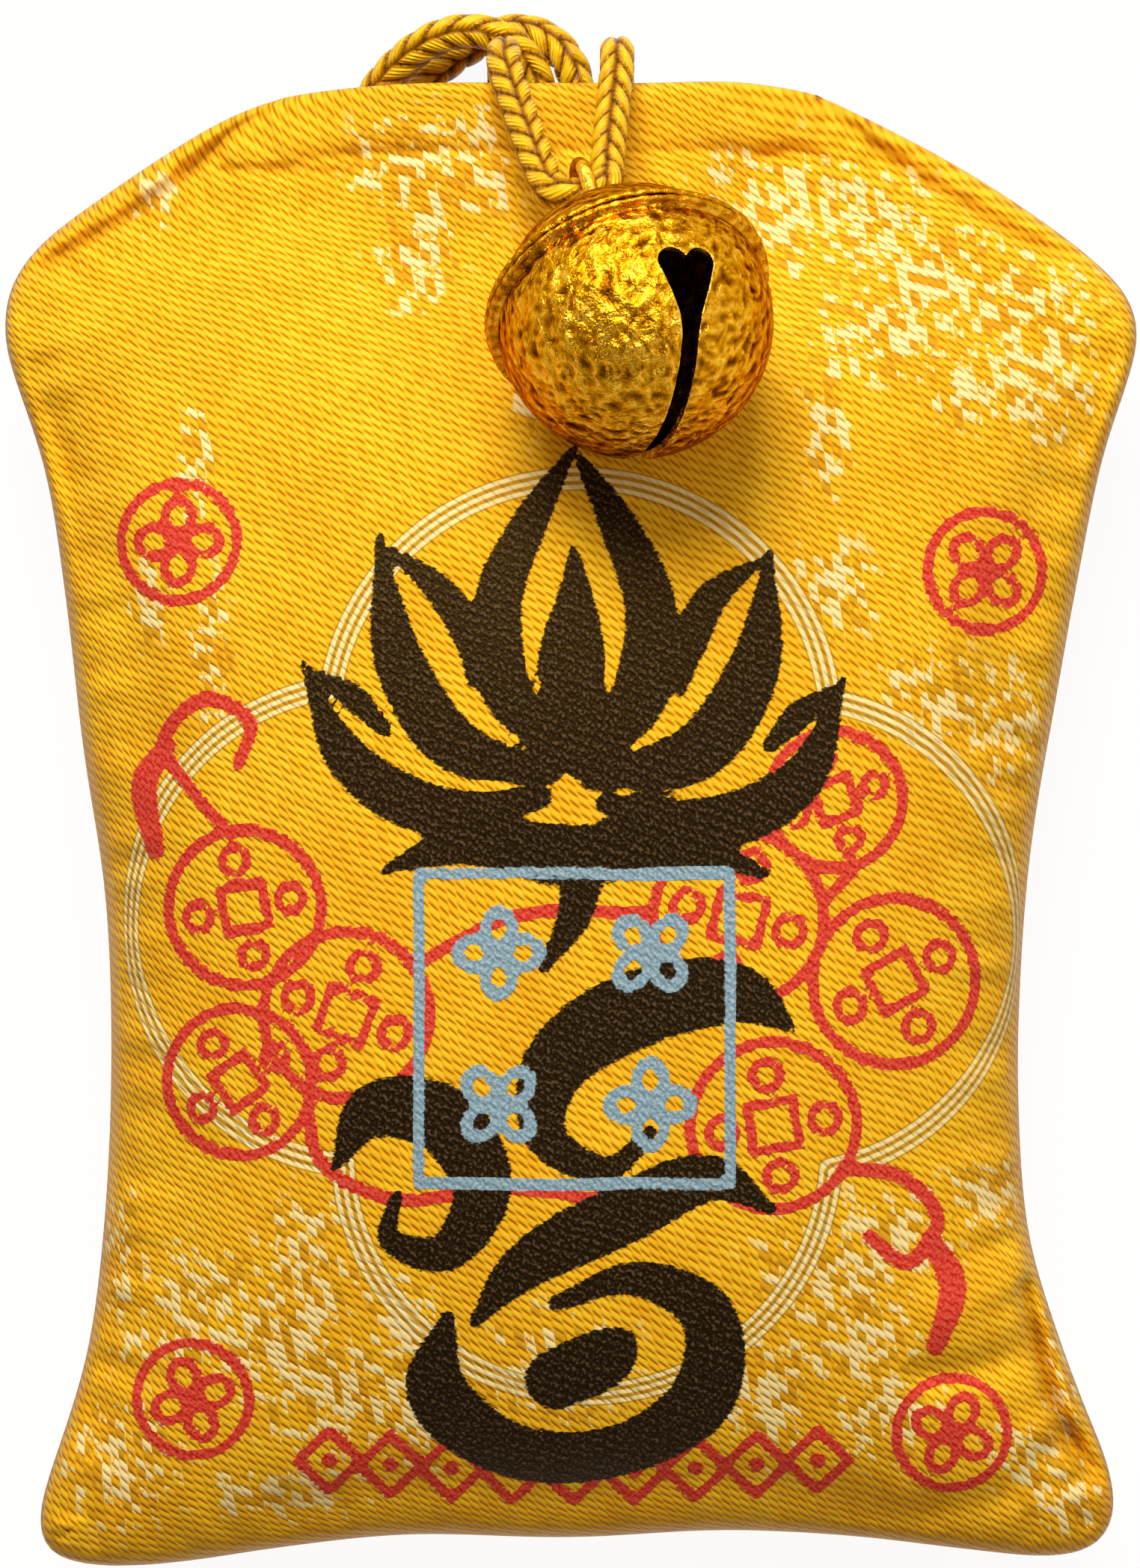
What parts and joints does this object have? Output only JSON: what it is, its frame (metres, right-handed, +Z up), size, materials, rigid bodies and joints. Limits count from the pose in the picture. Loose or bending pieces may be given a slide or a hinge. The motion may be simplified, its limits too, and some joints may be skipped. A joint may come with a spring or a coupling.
{
  "type": "mantra wheel talisman",
  "caption": "Stuffed brocade amulet pouch with a round charm card inside, a folded hanging cord and a jingle bell on a cord over its hem.",
  "frame": {"origin": "on the table, under the middle of the pouch", "axes": "+X across the pouch, +Y from its bottom edge to its mouth, +Z up from the table through the front face"},
  "size_m": [0.0596, 0.0822, 0.0279],
  "materials": {
    "brocade_front": "yellow twill brocade with woven clouds",
    "brocade_back": "yellow twill brocade with woven clouds",
    "charm_card": "stiff gold-faced card",
    "sleeve_paper": "folded cream paper",
    "wadding": "white polyester wadding",
    "gold_cord": "braided satin cord, gold yellow",
    "gilt_brass": "thin gilt brass with a hammered face",
    "steel_pellet": "plain steel ball"
  },
  "bodies": {
    "pouch": {"front_panel": "brocade_front", "back_panel": "brocade_back", "charm_card": "charm_card", "charm_sleeve": "sleeve_paper", "filling_front": "wadding", "filling_back": "wadding", "hanging_cord_coil": "gold_cord", "hanging_cord_left_leg": "gold_cord", "hanging_cord_right_leg": "gold_cord", "hanging_cord_knot": "gold_cord", "bell_cord_knot": "gold_cord", "bell_cord_left_bend": "gold_cord", "bell_cord_right_bend": "gold_cord"},
    "bell_cord": {"bell_cord_loop": "gold_cord"},
    "bell": {"bell_upper_cup": "gilt_brass", "bell_lower_cup": "gilt_brass", "bell_shank": "gilt_brass"},
    "pellet": {"bell_pellet": "steel_pellet"}
  },
  "joints": [
    {"name": "bell_lift", "type": "hinge", "parent": "pouch", "child": "bell_cord", "pos_m": [0, 0.0387, 0.00773], "axis": [-1, 0, 0], "range_deg": [0, 80], "deforming": ["bell_cord_left_bend", "bell_cord_right_bend"]},
    {"name": "bell_nod", "type": "hinge", "parent": "bell_cord", "child": "bell", "pos_m": [0.00071, 0.03246, 0.01494], "axis": [-0.9628, -0.206, 0.175], "range_deg": [0, 80]},
    {"name": "pellet_roll", "type": "hinge", "parent": "bell", "child": "pellet", "pos_m": [0.00325, 0.0256, 0.02084], "axis": [1, 0, 0], "range_deg": [-60, 60]}
  ]
}
